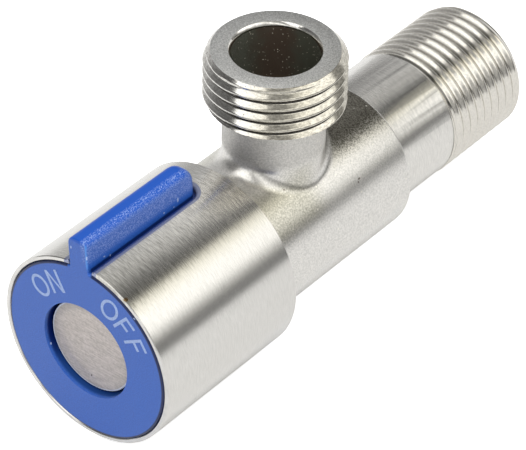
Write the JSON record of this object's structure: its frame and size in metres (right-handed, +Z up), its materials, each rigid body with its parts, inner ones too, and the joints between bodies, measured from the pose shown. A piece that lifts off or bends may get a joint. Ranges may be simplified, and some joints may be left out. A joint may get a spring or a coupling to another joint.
{
  "type": "angle valve",
  "caption": "Stainless angle valve: threaded inlet tail, threaded outlet spout at a right angle, and a round brushed handle with a blue ring and grip fin that turns a quarter.",
  "frame": {"origin": "centre of the inlet's end face, on the main axis", "axes": "+Y out of the inlet, towards the supply pipe in the wall; +Z up along the outlet; the handle is at the -Y end"},
  "size_m": [0.0304, 0.0901, 0.0449],
  "materials": {
    "satin_stainless": "satin, lightly grained",
    "brushed_stainless": "brushed around the axis",
    "brushed_plate": "brushed straight",
    "blue_plastic": "moulded, slightly matte",
    "turned_brass": "turned",
    "white_plastic": "moulded",
    "white_ceramic": "lapped alumina ceramic",
    "black_rubber": "moulded",
    "spring_steel": "plain"
  },
  "bodies": {
    "valve": {"valve_body": "satin_stainless", "cartridge_housing": "turned_brass", "housing_oring": "black_rubber", "seat_seal": "black_rubber", "fixed_disc": "white_ceramic"},
    "handle": {"handle_sleeve": "brushed_stainless", "handle_core": "blue_plastic", "cap_plate": "brushed_plate", "cap_plug": "blue_plastic", "handle_screw": "spring_steel", "screw_washer": "spring_steel", "spline_insert": "turned_brass", "stop_ring": "turned_brass", "retaining_ring": "spring_steel", "spindle": "turned_brass", "spindle_oring_lower": "black_rubber", "spindle_oring_upper": "black_rubber", "thrust_washer": "white_plastic", "disc_carrier": "white_plastic", "moving_disc": "white_ceramic"}
  },
  "joints": [
    {"name": "handle_turn", "type": "hinge", "parent": "valve", "child": "handle", "pos_m": [0, -0.076, 0], "axis": [0, -1, 0], "range_deg": [0, 90]}
  ]
}
